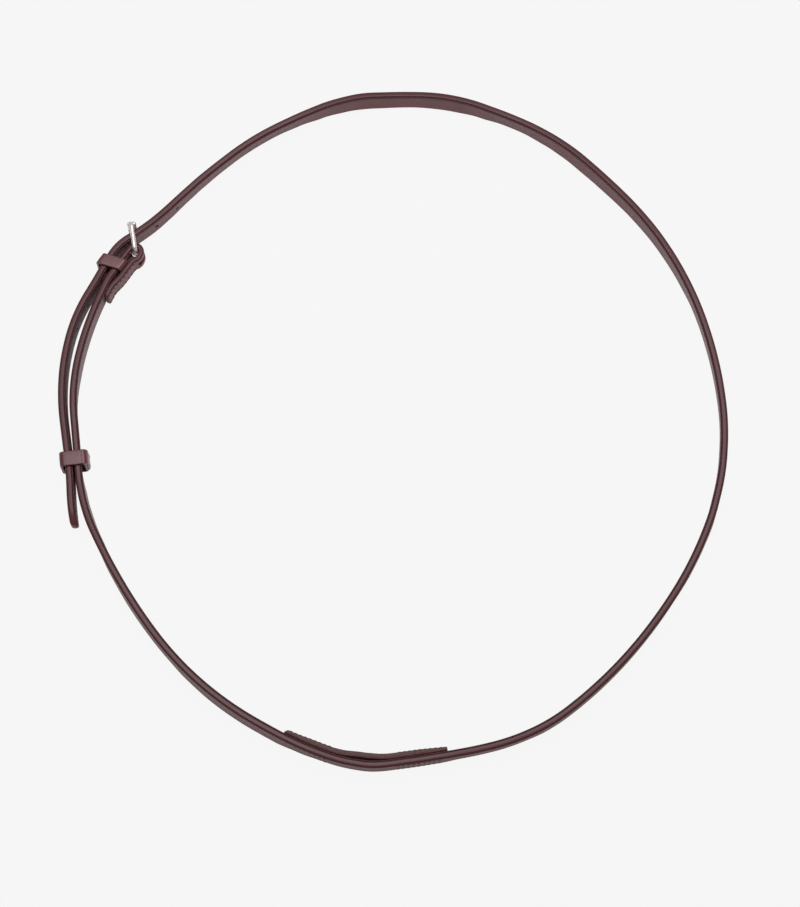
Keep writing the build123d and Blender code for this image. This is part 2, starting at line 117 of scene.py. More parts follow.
# Points that the strap's line passes through, with its heading there in degrees: fitted values, the
# same list as the CAD parts have
STATIONS = [
    (-200, 109, 236), (-209, 90, 248), (-223.5, 1, 277), (-206.5, -83, 296), (-163.5, -153.5, 307),
    (-108, -206, 326), (-75.5, -225, 332), (-46.5, -238, 340), (-29, -243, 349), (-11, -245, 2),
    (11, -242.5, 7.5), (36.5, -238.5, 8.5), (97.5, -221.5, 26), (141, -190, 42.5), (196, -124, 57.5),
    (221.5, -72.5, 69.5), (227, -54.5, 75), (232, -28.5, 83.5), (233, 10, 94), (221.5, 73, 106.5),
    (170, 166, 132), (104, 222, 152.5), (67, 238.5, 158), (20, 248, 179), (-14, 247.5, 182),
    (-29, 245.5, 193), (-53.5, 237.5, 204.5), (-117.5, 199.5, 220), (-144.5, 175.5, 224.5),
    (-176, 145.5, 219), (-201.5, 122.5, 241.5), (-217, 93, 241.5), (-233, 22, 271), (-227, -27, 279),
    (-220.5, -78.5, 282),
]

# The hoop rests tipped by under half a degree, by the angle and the move that the CAD works out
TIP_DIRECTION = radians(144.0)
TIP_ANGLE = radians(-0.4487650948371648)
TIP_MOVE = Vector((-0.2732032410787326, -1.4815459275352652, 1.8387265404438216))
TIP_LINE = Vector((-sin(TIP_DIRECTION), cos(TIP_DIRECTION), 0))
MILLIMETRES = Matrix.Scale(0.001, 4)
REST = MILLIMETRES @ Matrix.Translation(TIP_MOVE) @ Matrix.Rotation(TIP_ANGLE, 4, TIP_LINE)

# How far the upright strap leans inwards at the top, in degrees, by distance along it: most values
# are fitted, and some are set one by one
LEANS = [
    (0, 0), (95, 0), (130, 5), (172, 5), (192, -1.5), (207, -3), (225, -2), (250, 2), (277, 3.5),
    (323, 2.2), (340, 4), (370, 6), (416, 6.3), (432, 3), (450, 0), (530, 0), (545, -2.8), (590, -3),
    (605, -1.4), (650, -0.8), (730, -0.9), (760, 1.5), (777, 2.6), (793, 3.8), (809, 2.5), (842, 4),
    (875, 5.2), (959, 5.4), (980, 3.4), (1010, 1.4), (1043, -1), (1077, -3.4), (1094, -4.4), (1111, -2.4),
    (1128, 0.2), (1148, 4.2), (1162, 4.2), (1180, -0.7), (1200, -5.2), (1214, -5.2), (1232, -3.2),
    (1266, -5.4), (1283, -2.4), (1300, 1.2), (1318, 6.6), (1335, 8.8), (1352, 8), (1386, 7.4),
    (1403, 5.6), (1420, 4.3), (1436, 2.1), (1455, 0), (1720, 0),
]


# ---- lines in the strap's plane: a line is a list of arcs (x, y, heading, bend, length) ----

def arc_to(pose, point):
    x, y, heading = pose
    east, north = point[0] - x, point[1] - y
    along = east * cos(heading) + north * sin(heading)
    across = north * cos(heading) - east * sin(heading)
    chord = hypot(along, across)
    bend = 2 * across / chord ** 2
    turn = 2 * atan2(across, along)
    return (x, y, heading, bend, chord if abs(turn) < 1e-9 else turn / bend)


def pose_on(arc, distance):
    x, y, heading, bend, _ = arc
    if abs(bend) < 1e-9:
        return (x + distance * cos(heading), y + distance * sin(heading), heading)
    turned = heading + bend * distance
    return (x + (sin(turned) - sin(heading)) / bend, y - (cos(turned) - cos(heading)) / bend, turned)


def two_arcs(start, end):
    x1, y1, a1 = start
    x2, y2, a2 = end
    east, north = x2 - x1, y2 - y1
    dot = east * (cos(a1) + cos(a2)) + north * (sin(a1) + sin(a2))
    spread = 2 * (1 - cos(a1 - a2))
    square = east ** 2 + north ** 2
    if spread < 1e-9:
        reach = square / (4 * (east * cos(a2) + north * sin(a2)))
    else:
        reach = (sqrt(dot ** 2 + spread * square) - dot) / spread
    meeting = ((x1 + x2 + reach * (cos(a1) - cos(a2))) / 2, (y1 + y2 + reach * (sin(a1) - sin(a2))) / 2)
    first = arc_to(start, meeting)
    return [first, arc_to(pose_on(first, first[4]), (x2, y2))]


def line_through(poses):
    line = []
    for start, end in zip(poses, poses[1:]):
        line += two_arcs(start, end)
    return line


def length_of(line):
    return sum(arc[4] for arc in line)


def pose_at(line, distance):
    for arc in line[:-1]:
        if distance <= arc[4]:
            return pose_on(arc, distance)
        distance -= arc[4]
    return pose_on(line[-1], distance)


def beside(pose, offset):
    x, y, heading = pose
    return (x - offset * sin(heading), y + offset * cos(heading), heading)


def turned_round(pose):
    return (pose[0], pose[1], pose[2] + pi)


def parallel(line, offset):
    arcs = []
    for arc in line:
        x, y, heading = beside(arc[:3], offset)
        scale = 1 - arc[3] * offset
        arcs.append((x, y, heading, arc[3] / scale, arc[4] * scale))
    return arcs


def stretch(line, low, high):
    arcs, start = [], 0.0
    for arc in line:
        first, last = max(low - start, 0.0), min(high - start, arc[4])
        if last - first > 1e-6:
            arcs.append((*pose_on(arc, first), arc[3], last - first))
        start += arc[4]
    return arcs


def backwards(line):
    return [(*turned_round(pose_on(arc, arc[4])), -arc[3], arc[4]) for arc in reversed(line)]


FOLD_RADIUS = HEEL_RADIUS + FOLD_CLEARANCE + FACE / 2
FACE_MIDDLE = (OUTER + SEAM) / 2
HEEL = (*HEEL_AT, radians(232))
STRAP = line_through(
    [beside(HEEL, -(FOLD_RADIUS + FACE_MIDDLE))] + [(x, y, radians(a)) for x, y, a in STATIONS]
)
STRAP_LENGTH = length_of(STRAP)
TONGUE = (*HEEL_AT, radians(FRAME_HEADING) + atan2(TONGUE_STEP, FRAME_LENGTH))


def crossing():
    """Distance along the strap at which it crosses the tongue."""
    distance, side = STRAP_LENGTH, 1.0
    while side > 0:
        distance -= SEARCH_STEP
        x, y, _ = pose_at(STRAP, distance)
        side = (y - HEEL_AT[1]) * cos(TONGUE[2]) - (x - HEEL_AT[0]) * sin(TONGUE[2])
    return distance


BUCKLED_AT = crossing()


def turnback():
    """Middle of the face layer from the flap's cut end, round the heel bar."""
    touching = INNER + GLUE + FACE / 2
    over = touching + KEEPER_LEATHER + 3 * GLUE
    wall_at = FIXED_AT - FIXED_SKEW / 2
    low, high = wall_at - FIXED_WIDTH / 2 - 1, wall_at + FIXED_WIDTH / 2 + 1
    stations = [
        (FLAP_LENGTH, touching), (high + FLAP_TAPER, touching), (high, over), (low, over), (BULGE_AT, BULGE),
    ]
    poses = [turned_round(beside(pose_at(STRAP, at), offset)) for at, offset in stations]
    fold = beside((*HEEL_AT, HEEL[2] - pi / 2), -FOLD_RADIUS)
    return line_through(poses + [fold]) + [(*fold, 1 / FOLD_RADIUS, pi / 2 * FOLD_RADIUS)]


TURNBACK = turnback()
TURN_LENGTH = length_of(TURNBACK)


def smooth(low, high, value):
    t = min(max((value - low) / (high - low), 0.0), 1.0)
    return t * t * (3 - 2 * t)


def mix(a, b, t):
    return a + (b - a) * t


def lean_at(distance):
    for (s0, a), (s1, b) in zip(LEANS, LEANS[1:]):
        if distance <= s1:
            return radians(mix(a, b, smooth(s0, s1, distance)))
    return 0.0


def wave(distance, scale, key):
    """Smooth noise along the strap, from -1 to 1."""
    return noise.noise(Vector((distance / scale, key * 17.3, SEED)))


def point_in(pose, across, height, lean=0.0):
    """A point of a section, across to the left of travel.

    The section leans about its top outer corner, lifted so that its lowest corner stays at height 0.
    """
    a = OUTER + (across - OUTER) * cos(lean) - (WIDTH - height) * sin(lean)
    z = height * cos(lean) - (across - OUTER) * sin(lean) + THICKNESS * max(0.0, sin(lean))
    x, y, _ = beside(pose, a)
    return (x, y, z)


# ---- sections: closed outlines of (across, height) ----

CORNER_POINTS = 7
SIDE_POINTS = 6
EDGE_POINTS = 4


def section(low, high, bottom, top, low_corner, high_corner, dome=0.0):
    """A flat strap's section with elliptical corners, each given as (across, height)."""
    (la, lz), (ha, hz) = low_corner, high_corner
    middle, half = (low + high) / 2, (high - low) / 2
    points = []

    def corner(ca, cz, ra, rz, start):
        for i in range(CORNER_POINTS):
            angle = start - pi / 2 * i / (CORNER_POINTS - 1)
            points.append((ca + ra * cos(angle), cz + rz * sin(angle)))

    def between(a, b, count):
        for i in range(1, count + 1):
            t = i / (count + 1)
            points.append((mix(a[0], b[0], t), mix(a[1], b[1], t)))

    corner(low + la, top - lz, la, lz, pi)
    between((low + la, top), (high - ha, top), EDGE_POINTS)
    corner(high - ha, top - hz, ha, hz, pi / 2)
    between((high, top - hz), (high, bottom + hz), SIDE_POINTS)
    corner(high - ha, bottom + hz, ha, hz, 0)
    between((high - ha, bottom), (low + la, bottom), EDGE_POINTS)
    corner(low + la, bottom + lz, la, lz, -pi / 2)
    between((low, bottom + lz), (low, top - lz), SIDE_POINTS)
    centre = (bottom + top) / 2
    domed = []
    for a, z in points:
        share = (z - centre) / ((top - bottom) / 2)
        swell = dome * max(0.0, 1 - ((a - middle) / half) ** 2) * share ** 3
        domed.append((a, z + swell))
    return domed


# ---- meshes ----

def mesh_of(name, rings, closed=False):
    """A tube through rings of points, all of one count, capped at both ends unless it closes."""
    count = len(rings[0])
    vertices = [p for ring in rings for p in ring]
    faces = []
    spans = len(rings) if closed else len(rings) - 1
    for i in range(spans):
        a, b = i * count, (i + 1) % len(rings) * count
        for j in range(count):
            k = (j + 1) % count
            faces.append((a + j, b + j, b + k, a + k))
    if not closed:
        faces.append(tuple(range(count)))
        faces.append(tuple(reversed(range((len(rings) - 1) * count, len(rings) * count))))
    mesh = bpy.data.meshes.new(name)
    mesh.from_pydata(vertices, [], faces)
    work = bmesh.new()
    work.from_mesh(mesh)
    bmesh.ops.recalc_face_normals(work, faces=work.faces)
    work.to_mesh(mesh)
    work.free()
    return mesh


def object_of(name, mesh):
    made = bpy.data.objects.new(name, mesh)
    bpy.context.scene.collection.objects.link(made)
    return made


def cut(target, cutters):
    """Takes the cutters out of the target's mesh, one at a time so that each cut stays clean."""
    for cutter in cutters:
        tool = object_of("cutter", cutter)
        step = target.modifiers.new("cut", "BOOLEAN")
        step.operation = "DIFFERENCE"
        step.solver = "EXACT"
        step.object = tool
        view = bpy.context.evaluated_depsgraph_get()
        result = bpy.data.meshes.new_from_object(target.evaluated_get(view))
        target.modifiers.clear()
        target.data = result
        bpy.data.objects.remove(tool)


def joined(name, meshes):
    work = bmesh.new()
    for mesh in meshes:
        work.from_mesh(mesh)
    whole = bpy.data.meshes.new(name)
    work.to_mesh(whole)
    work.free()
    return object_of(name, whole)


def finished(made, body, nodes, material, sharp=40.0, edge_at=None):
    """Puts a piece into the row frame, gives it its body and material, and hides the CAD nodes it replaces.
    """
    mesh = made.data
    if edge_at:
        bottom, top, depth = edge_at
        rim = mesh.attributes.new("edge", "FLOAT", "POINT")
        values = []
        for v in mesh.vertices:
            inside = min(v.co.z - bottom, top - v.co.z)
            values.append(1 - smooth(depth * 0.45, depth, inside))
        rim.data.foreach_set("value", values)
    mesh.transform(REST)
    mesh.shade_smooth()
    mesh.set_sharp_from_angle(angle=radians(sharp))
    mesh.materials.clear()
    mesh.materials.append(material)
    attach(made, body)
    if nodes:
        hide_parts(*nodes)
    return made


def distances(low, high, step, dense=()):
    """Distances from low to high, closer together inside the dense ranges of (from, to, step)."""
    found, at = [], low
    while at < high - 1e-6:
        found.append(at)
        near = [s for a, b, s in dense if a <= at < b]
        at += min(near) if near else step
    found.append(high)
    return found


# ---- materials ----

def material(name):
    made = bpy.data.materials.new(name)
    made.use_nodes = True
    tree = made.node_tree
    shader = tree.nodes["Principled BSDF"]
    return made, tree, shader


def node(tree, kind, **values):
    made = tree.nodes.new(kind)
    for key, value in values.items():
        if key in made.inputs:
            made.inputs[key].default_value = value
        else:
            setattr(made, key, value)
    return made


def ramp(tree, source, stops):
    made = tree.nodes.new("ShaderNodeValToRGB")
    elements = made.color_ramp.elements
    while len(elements) < len(stops):
        elements.new(0.5)
    for element, (position, colour) in zip(elements, stops):
        element.position = position
        element.color = (*colour, 1)
    tree.links.new(source, made.inputs["Fac"])
    return made.outputs["Color"]


def blended(tree, fac, a, b):
    made = tree.nodes.new("ShaderNodeMix")
    made.data_type = "RGBA"
    factor = made.inputs[0]
    first, second = [s for s in made.inputs if s.type == "RGBA"]
    for socket, value in ((factor, fac), (first, a), (second, b)):
        if isinstance(value, bpy.types.NodeSocket):
            tree.links.new(value, socket)
        elif isinstance(value, tuple):
            socket.default_value = (*value, 1)
        else:
            socket.default_value = value
    return [s for s in made.outputs if s.type == "RGBA"][0]


def scaled(tree, source, low, high):
    made = tree.nodes.new("ShaderNodeMapRange")
    made.inputs["To Min"].default_value = low
    made.inputs["To Max"].default_value = high
    tree.links.new(source, made.inputs["Value"])
    return made.outputs["Result"]


def leather(name, dark, light, edge, rough=(0.42, 0.54), grain=0.1, edge_fibre=0.0, shine=0.28):
    """Finished leather: fine grain, mottled colour, and painted edges where "edge" is 1."""
    made, tree, shader = material(name)
    link = tree.links.new
    place = tree.nodes.new("ShaderNodeTexCoord").outputs["Object"]
    broad = node(tree, "ShaderNodeTexNoise", Scale=55.0, Detail=3.0, Roughness=0.55)
    fine = node(tree, "ShaderNodeTexNoise", Scale=700.0, Detail=4.0, Roughness=0.6)
    creases = node(tree, "ShaderNodeTexVoronoi", Scale=1100.0, feature="DISTANCE_TO_EDGE")
    for texture in (broad, fine, creases):
        link(place, texture.inputs["Vector"])
    rim = node(tree, "ShaderNodeAttribute", attribute_name="edge").outputs["Fac"]
    tone = ramp(tree, broad.outputs["Fac"], [(0.3, dark), (0.72, light)])
    speck = ramp(tree, fine.outputs["Fac"], [(0.35, (0.8, 0.78, 0.78)), (0.65, (1.12, 1.12, 1.12))])
    mottled = tree.nodes.new("ShaderNodeMix")
    mottled.data_type, mottled.blend_type = "RGBA", "MULTIPLY"
    first, second = [s for s in mottled.inputs if s.type == "RGBA"]
    mottled.inputs[0].default_value = 0.5
    link(tone, first)
    link(speck, second)
    body = [s for s in mottled.outputs if s.type == "RGBA"][0]
    colour = blended(tree, rim, body, edge)
    link(colour, shader.inputs["Base Color"])
    link(scaled(tree, fine.outputs["Fac"], *rough), shader.inputs["Roughness"])
    # Grain is weaker on the painted edge, unless edge_fibre brings it back.
    face_grain = tree.nodes.new("ShaderNodeMath")
    face_grain.operation = "MULTIPLY"
    link(creases.outputs["Distance"], face_grain.inputs[0])
    link(scaled(tree, rim, 1.0, 0.25 + edge_fibre), face_grain.inputs[1])
    height = tree.nodes.new("ShaderNodeMath")
    height.operation = "ADD"
    link(face_grain.outputs[0], height.inputs[0])
    link(scaled(tree, fine.outputs["Fac"], 0.0, 0.5), height.inputs[1])
    bump = node(tree, "ShaderNodeBump", Strength=grain, Distance=0.00025)
    link(height.outputs[0], bump.inputs["Height"])
    link(bump.outputs["Normal"], shader.inputs["Normal"])
    shader.inputs["Specular IOR Level"].default_value = 0.22
    shader.inputs["Coat Weight"].default_value = shine
    shader.inputs["Coat Roughness"].default_value = 0.3
    return made


def steel(name):
    """Stainless steel with a soft shine and faint wiping marks."""
    made, tree, shader = material(name)
    link = tree.links.new
    place = tree.nodes.new("ShaderNodeTexCoord").outputs["Object"]
    smear = node(tree, "ShaderNodeTexNoise", Scale=260.0, Detail=4.0)
    marks = node(tree, "ShaderNodeTexNoise", Scale=1800.0, Detail=2.0)
    link(place, smear.inputs["Vector"])
    link(place, marks.inputs["Vector"])
    link(ramp(tree, smear.outputs["Fac"], [(0.3, (0.97, 0.9, 0.9)), (0.7, (1.0, 0.94, 0.94))]),
         shader.inputs["Base Color"])
    link(scaled(tree, smear.outputs["Fac"], 0.46, 0.54), shader.inputs["Roughness"])
    soft = node(tree, "ShaderNodeBevel", Radius=0.0012)
    soft.samples = 8
    bump = node(tree, "ShaderNodeBump", Strength=0.02, Distance=0.0001)
    link(marks.outputs["Fac"], bump.inputs["Height"])
    link(soft.outputs["Normal"], bump.inputs["Normal"])
    link(bump.outputs["Normal"], shader.inputs["Normal"])
    shader.inputs["Metallic"].default_value = 1.0
    return made


def thread(name, dark, light):
    """Waxed twisted thread, with painted shade in the twist's grooves and painted light on its ridges."""
    made, tree, shader = material(name)
    link = tree.links.new
    place = tree.nodes.new("ShaderNodeTexCoord").outputs["Object"]
    twist = node(tree, "ShaderNodeTexWave", Scale=1400.0, Distortion=1.5, bands_direction="DIAGONAL")
    fuzz = node(tree, "ShaderNodeTexNoise", Scale=2600.0, Detail=3.0)
    link(place, twist.inputs["Vector"])
    link(place, fuzz.inputs["Vector"])
    # Colour follows the twist's height: painted shade in its grooves, painted light on its ridges.
    link(ramp(tree, twist.outputs["Fac"], [(0.2, dark), (0.8, light)]), shader.inputs["Base Color"])
    link(scaled(tree, fuzz.outputs["Fac"], 0.45, 0.75), shader.inputs["Roughness"])
    bump = node(tree, "ShaderNodeBump", Strength=0.5, Distance=0.0001)
    link(twist.outputs["Fac"], bump.inputs["Height"])
    link(bump.outputs["Normal"], shader.inputs["Normal"])
    return made


STRAP_LEATHER = leather("strap_leather", (0.135, 0.032, 0.037), (0.185, 0.045, 0.052), (0.09, 0.022, 0.026))
LINING_LEATHER = leather(
    "lining_leather", (0.13, 0.033, 0.038), (0.175, 0.045, 0.052), (0.06, 0.014, 0.017),
    rough=(0.44, 0.54), grain=0.05,
)
KEEPER_HIDE = leather(
    "keeper_leather", (0.12, 0.03, 0.034), (0.165, 0.043, 0.049), (0.08, 0.02, 0.023), shine=0.7,
)
LOOP_HIDE = leather(
    "loop_leather", (0.085, 0.024, 0.025), (0.12, 0.037, 0.037), (0.088, 0.025, 0.025),
    rough=(0.5, 0.66), grain=0.35, edge_fibre=0.7, shine=0.2,
)
STEEL = steel("polished_steel")
# The thread's two colours: the darker is painted shade in the twist's grooves, the lighter is painted light
# on its ridges.
THREAD = thread("thread", (0.085, 0.024, 0.026), (0.17, 0.055, 0.056))


# ---- the strap ----

FACE_LINE = TURNBACK + parallel(STRAP, FACE_MIDDLE)
FACE_LENGTH = length_of(FACE_LINE)
HOOP_SCALE = length_of(parallel(STRAP, FACE_MIDDLE)) / STRAP_LENGTH
VISIBLE_SEAM = 1.85
OUTER_CORNER = (1.7, 1.25)
SEAM_CORNER = (1.3, 0.85)
NOSE_HALF = 2.2
NOSE_ROUNDING = 3.0


def strap_distance(at):
    """Distance along the strap's centreline for a distance along the face layer's line."""
    return (at - TURN_LENGTH) / HOOP_SCALE


def point_shape(distance):
    """Half of the strap's width at a distance along it: full, then narrowing to the point."""
    left = STRAP_LENGTH - distance
    if left >= POINT_LENGTH:
        return MID
    t = 1 - left / POINT_LENGTH
    return mix(NOSE_HALF, MID, sqrt(max(0.0, 1 - t ** 2.3)))


def nose_share(left):
    """Share of a layer's thickness that is left, at a distance from the billet's rounded end."""
    return mix(0.2, 1.0, sqrt(max(0.0, 1 - (1 - min(left / NOSE_ROUNDING, 1.0)) ** 2)))


def face_rings():
    rings = []
    dense = ((0, TURN_LENGTH + PAST_FOLD, 0.8), (FACE_LENGTH - NEAR_TIP, FACE_LENGTH, TIP_RING_STEP),
             (FACE_LENGTH - HOLES_FROM, FACE_LENGTH - HOLES_TO, HOLE_RING_STEP))
    for at in distances(0.0, FACE_LENGTH, RING_STEP, dense):
        pose = pose_at(FACE_LINE, at)
        along = strap_distance(at)
        half = point_shape(along) if along > 0 else MID
        lean = lean_at(along) if along > 0 else 0.0
        seam = mix(FACE / 2, VISIBLE_SEAM - FACE_MIDDLE, smooth(*SEAM_MOVES, along))
        low, high = -FACE / 2, seam
        start = min(at, 0.9) / 0.9
        shrink = 0.75 + 0.25 * sqrt(max(0.0, 1 - (1 - start) ** 2))
        middle = (low + high) / 2
        low, high = mix(middle, low, shrink), mix(middle, high, shrink)
        shrink = min(shrink, nose_share(FACE_LENGTH - at))
        low = high - (high - low) * nose_share(FACE_LENGTH - at)
        half -= (1 - shrink) * 0.8
        lift = 0.1 * wave(at, 23, 1) + 0.05 * wave(at, 7, 2)
        soft = 1 + 0.12 * wave(at, 31, 3)
        outline = section(
            low, high, MID - half, MID + half + lift,
            (OUTER_CORNER[0] * soft * shrink, OUTER_CORNER[1] * soft * shrink),
            (SEAM_CORNER[0] * shrink, SEAM_CORNER[1] * shrink), dome=0.12,
        )
        rings.append([point_in(pose, a, z, lean) for a, z in outline])
    return rings


def lining_rings():
    start = SLOT_RADIUS + 0.5
    rings = []
    dense = ((start, PAST_FOLD, 1.0), (STRAP_LENGTH - NEAR_TIP, STRAP_LENGTH, TIP_RING_STEP),
             (STRAP_LENGTH - HOLES_FROM, STRAP_LENGTH - HOLES_TO, HOLE_RING_STEP))
    for at in distances(start, STRAP_LENGTH - 0.6, RING_STEP, dense):
        pose = pose_at(STRAP, at)
        low = mix(SEAM + GLUE, VISIBLE_SEAM + GLUE, smooth(*SEAM_MOVES, at))
        half = point_shape(at) - LINING_INSET
        lift = 0.06 * wave(at, 19, 5)
        high = low + (INNER - low) * nose_share(STRAP_LENGTH - at)
        corner = 0.42 * (high - low) / (INNER - low)
        outline = section(low, high, MID - half, MID + half + lift, (0.6 * corner, 0.25), (corner, 0.42))
        rings.append([point_in(pose, a, z, lean_at(at)) for a, z in outline])
    return rings


def lathe_between(pose, profile, sides=36):
    """A turned cutter whose axis crosses the strap at a pose: profile is (across, radius)."""
    rings = []
    x, y, heading = pose
    for across, radius in profile:
        ring = []
        for i in range(sides):
            turn = 2 * pi * i / sides
            along, up = radius * cos(turn), radius * sin(turn)
            px, py, _ = beside((x + along * cos(heading), y + along * sin(heading), heading), across)
            ring.append((px, py, MID + up))
        rings.append(ring)
    return mesh_of("cutter", rings)


def hole_profile():
    """Radius along an unused hole, which opens out softly at both faces."""
    points = []
    for i in range(-8, 9):
        across = i / 8 * (THICKNESS / 2 + 0.6)
        depth = abs(across) / (THICKNESS / 2)
        points.append((across, IDLE_HOLE_RADIUS + HOLE_FLARE * depth ** 6))
    return points


def tongue_hole():
    """The worn hole that the tongue stands in, along the tongue."""
    x, y, heading = beside(TONGUE, WORN_HOLE_DRIFT)
    start = (x + WORN_HOLE_START * cos(heading), y + WORN_HOLE_START * sin(heading), heading)
    rings = []
    for step in (0.0, FRAME_LENGTH):
        ring = []
        for i in range(40):
            turn = 2 * pi * i / 40
            side, up = WORN_HOLE_LENGTH / 2 * cos(turn), WORN_HOLE_WIDTH / 2 * sin(turn)
            px, py, _ = beside(start, side)
            ring.append((px + step * cos(heading), py + step * sin(heading), MID + up))
        rings.append(ring)
    return mesh_of("cutter", rings)


def hole_cutters():
    cutters = []
    for step in HOLE_STEPS:
        at = BUCKLED_AT + step * HOLE_PITCH
        cutters.append(lathe_between(pose_at(STRAP, at), hole_profile()))
    cutters.append(tongue_hole())
    return cutters


def slot_cutter():
    """A flat disc about the heel bar, which cuts the slot that the tongue works in."""
    rings = []
    for height in (-SLOT_WIDTH / 2, SLOT_WIDTH / 2):
        ring = []
        for i in range(72):
            turn = 2 * pi * i / 72
            east, north = SLOT_RADIUS * cos(turn), SLOT_RADIUS * sin(turn)
            ring.append((HEEL_AT[0] + east, HEEL_AT[1] + north, MID + height))
        rings.append(ring)
    return mesh_of("cutter", rings)


face = object_of("hoop_face_leather", mesh_of("hoop_face_leather", face_rings()))
cut(face, hole_cutters() + [slot_cutter()])
finished(face, "strap", ["neck_strap_face"], STRAP_LEATHER, edge_at=(0, WIDTH, 2.2))

lining = object_of("hoop_lining_leather", mesh_of("hoop_lining_leather", lining_rings()))
cut(lining, hole_cutters())
finished(
    lining, "strap", ["neck_strap_lining"], LINING_LEATHER,
    edge_at=(LINING_INSET, WIDTH - LINING_INSET, 0.9),
)


# ---- keepers ----

def outer_strand(at):
    """Offset of the outer strand's middle, seen from a point on the first strand."""
    x, y, heading = pose_at(STRAP, at)
    seen = []
    for step in range(int((STRAP_LENGTH - BUCKLED_AT) / STRAND_STEP)):
        px, py, _ = pose_at(STRAP, BUCKLED_AT + step * STRAND_STEP)
        along = (px - x) * cos(heading) + (py - y) * sin(heading)
        across = (py - y) * cos(heading) - (px - x) * sin(heading)
        seen.append((abs(along), across))
    return min(seen)[1]


def loop_round(low, high, bottom, top, radius, steps=8, side=6):
    """Closed outline (across, height) of a keeper's middle, with its outward direction."""
    found = []
    corners = [(high - radius, top - radius, 90), (high - radius, bottom + radius, 0),
               (low + radius, bottom + radius, -90), (low + radius, top - radius, -180)]
    for index, (ca, cz, start) in enumerate(corners):
        for i in range(steps + 1):
            turn = radians(start - 90 * i / steps)
            found.append((ca + radius * cos(turn), cz + radius * sin(turn), turn))
        after = corners[(index + 1) % 4]
        turn = radians(start - 90)
        a0, z0 = ca + radius * cos(turn), cz + radius * sin(turn)
        a1, z1 = after[0] + radius * cos(radians(after[2])), after[1] + radius * sin(radians(after[2]))
        for i in range(1, side + 1):
            t = i / (side + 1)
            found.append((mix(a0, a1, t), mix(z0, z1, t), turn))
    return found


def strip_section(width, thickness, corner, crown):
    """Section of a keeper's leather: (along the strap, outwards)."""
    corners = (corner, corner)
    outline = section(-thickness / 2, thickness / 2, -width / 2, width / 2, corners, corners)
    shaped = []
    for out, along in outline:
        swell = crown * (1 - (2 * along / width) ** 2) if out > 0 else 0.0
        shaped.append((along, out + swell))
    return shaped


def keeper_band(name, pose, outline, width, thickness, crown, closed=True, skew=0.0):
    """A band of leather along an outline; skew is how much farther on its outer wall is."""
    x, y, heading = pose
    sides = [p[0] for p in outline]
    middle, slope = (min(sides) + max(sides)) / 2, skew / (max(sides) - min(sides))
    rings = []
    for index, (across, height, turn) in enumerate(outline):
        t = index / (len(outline) - 1)
        thin = thickness if closed else thickness * mix(0.35, 1.0, smooth(0, 0.12, min(t, 1 - t)))
        ring = []
        uneven_width = width * (1 + 0.03 * wave(index, 9, 8))
        for along, out in strip_section(uneven_width, thin, min(0.55, thin * 0.3), crown):
            along -= slope * (across - middle)
            px, py, _ = beside(
                (x + along * cos(heading), y + along * sin(heading), heading), across + out * cos(turn),
            )
            ring.append((px, py, height + out * sin(turn)))
        rings.append(ring)
    return object_of(name, mesh_of(name, rings, closed))


HALF_HIDE = KEEPER_LEATHER / 2
KEEPER_LOW = -KEEPER_EASE - HALF_HIDE
KEEPER_TOP = WIDTH + KEEPER_EASE + HALF_HIDE

fixed_pose = pose_at(STRAP, FIXED_AT)
fixed_outer = outer_strand(FIXED_AT) - THICKNESS / 2 - FIXED_EASE - HALF_HIDE
fixed_inner = INNER + GLUE + HALF_HIDE
fixed = keeper_band(
    "keeper_fixed", fixed_pose, loop_round(fixed_outer, fixed_inner, KEEPER_LOW, KEEPER_TOP, KEEPER_CORNER),
    FIXED_WIDTH, KEEPER_LEATHER, KEEPER_CROWN, skew=FIXED_SKEW,
)
finished(fixed, "strap", ["fixed_keeper"], KEEPER_HIDE)

runner_pose = pose_at(STRAP, RUNNER_AT)
runner_high = INNER + RUNNER_EASE
runner_outline = loop_round(
    runner_high - RUNNER_DEPTH - HALF_HIDE, runner_high + HALF_HIDE, KEEPER_LOW, KEEPER_TOP, RUNNER_CORNER,
)
runner = keeper_band(
    "keeper_runner", runner_pose, runner_outline, RUNNER_WIDTH, KEEPER_LEATHER, KEEPER_CROWN,
)
finished(runner, "runner", ["runner_keeper"], KEEPER_HIDE)

LAP = 1.5
lap_radius = RUNNER_CORNER + (KEEPER_LEATHER + LAP) / 2
lap_outline = [
    p for p in loop_round(
        runner_high - RUNNER_DEPTH, runner_high + KEEPER_LEATHER + LAP / 2, -1,
        KEEPER_TOP + HALF_HIDE + LAP / 2 - 0.5, lap_radius, steps=12, side=20,
    ) if p[0] > INNER - 0.3 and p[1] > 1.5
]
lap = keeper_band("keeper_runner_lap", runner_pose, lap_outline, RUNNER_WIDTH - 0.2, LAP, 0.1, closed=False)
finished(lap, "runner", [], KEEPER_HIDE)


# ---- loop piece ----

def loop_line():
    on_strap = parallel(STRAP, INNER + GLUE)
    scale = length_of(on_strap) / STRAP_LENGTH
    start = LOOP_START * scale
    gap_start = start + LOOP_SEWN
    gap_end = gap_start + LOOP_OPEN
    crest = beside(pose_at(on_strap, (gap_start + gap_end) / 2), LOOP_RISE)
    over = line_through([pose_at(on_strap, gap_start), crest, pose_at(on_strap, gap_end)])
    return stretch(on_strap, start, gap_start) + over + stretch(on_strap, gap_end, gap_end + LOOP_SEWN)


LOOP_LINE = loop_line()
LOOP_LENGTH = length_of(LOOP_LINE)
# The first end is cut at a slant: its inner corner starts this much farther on
LOOP_CUT_SLANT = 2.1
LOOP_CUT_EASE = 7.0


def loop_thickness(at):
    """Thickness of the loop piece, which thins towards both ends."""
    share = smooth(0, LOOP_TAPER, min(at, LOOP_LENGTH - at))
    return mix(LOOP_END_THICKNESS, LOOP_THICKNESS, share)


